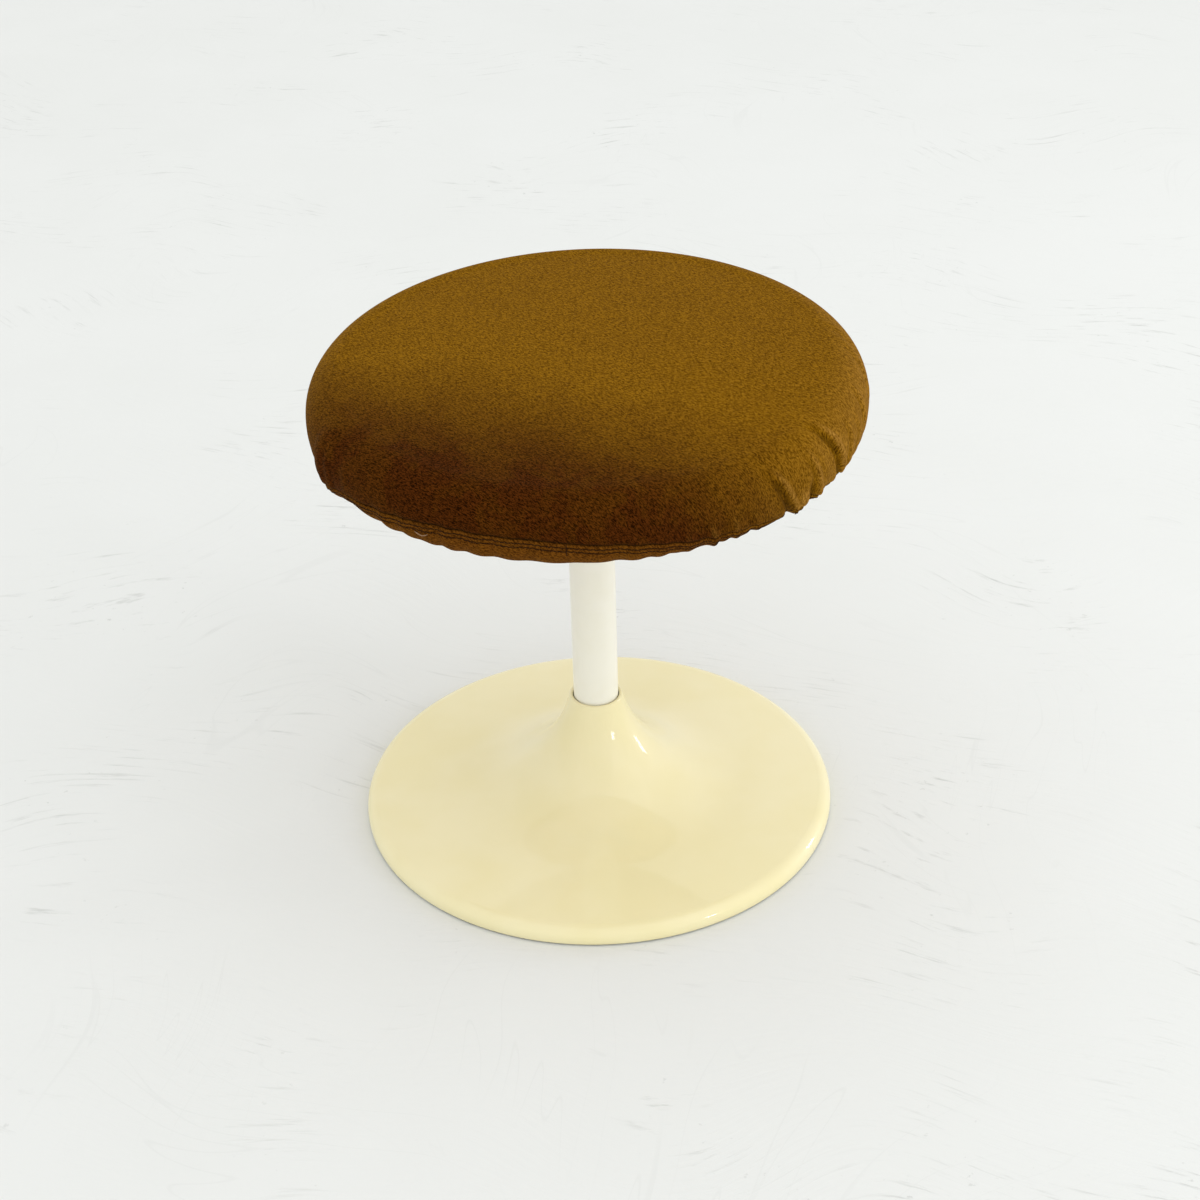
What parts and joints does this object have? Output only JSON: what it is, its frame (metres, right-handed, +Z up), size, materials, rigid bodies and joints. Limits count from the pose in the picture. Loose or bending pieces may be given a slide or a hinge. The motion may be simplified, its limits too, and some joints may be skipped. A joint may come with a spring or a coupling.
{
  "type": "tulip stool",
  "caption": "Low round stool: a padded cloth-covered seat that swivels on a white steel post, in a cream trumpet-shaped moulded base with a cast weight inside.",
  "frame": {"origin": "centre of the base on the floor, on the post's axis", "axes": "+Z up along the post; +Y to the back of the stool as pictured; +X to its right"},
  "size_m": [0.408, 0.408, 0.4],
  "materials": {
    "shell_plastic": "glossy moulded plastic, yellowed cream",
    "ring_rubber": "matte black rubber",
    "weight_iron": "sand-cast, painted dark",
    "post_lacquer": "satin white lacquer",
    "bare_steel": "bare turned and pressed steel",
    "zinc_steel": "bright zinc plating",
    "bush_nylon": "natural nylon",
    "board_plywood": "sanded birch plywood",
    "pad_foam": "aged cream foam",
    "cover_cloth": "brown napped cloth",
    "elastic_webbing": "woven elastic"
  },
  "bodies": {
    "base": {"base_shell": "shell_plastic", "floor_ring": "ring_rubber", "ballast_disc": "weight_iron", "shell_screws": "zinc_steel", "shell_screw_washers": "zinc_steel", "post_flange": "bare_steel", "flange_bolts": "zinc_steel", "flange_washers": "zinc_steel", "flange_nuts": "zinc_steel", "post_tube": "post_lacquer", "lower_bush": "bush_nylon", "upper_bush": "bush_nylon", "thrust_washer": "bush_nylon"},
    "seat": {"seat_spindle": "bare_steel", "spindle_washer": "zinc_steel", "spindle_clip": "bare_steel", "seat_hub": "bare_steel", "seat_plate": "bare_steel", "seat_screws": "zinc_steel", "seat_screw_washers": "zinc_steel", "tee_nuts": "zinc_steel", "seat_board": "board_plywood", "foam_pad": "pad_foam", "seat_cover": "cover_cloth", "hem_band": "cover_cloth", "hem_elastic": "elastic_webbing"}
  },
  "joints": [
    {"name": "seat_swivel", "type": "hinge", "parent": "base", "child": "seat", "pos_m": [0, 0, 0.3228], "axis": [0, 0, 1], "continuous": true}
  ]
}
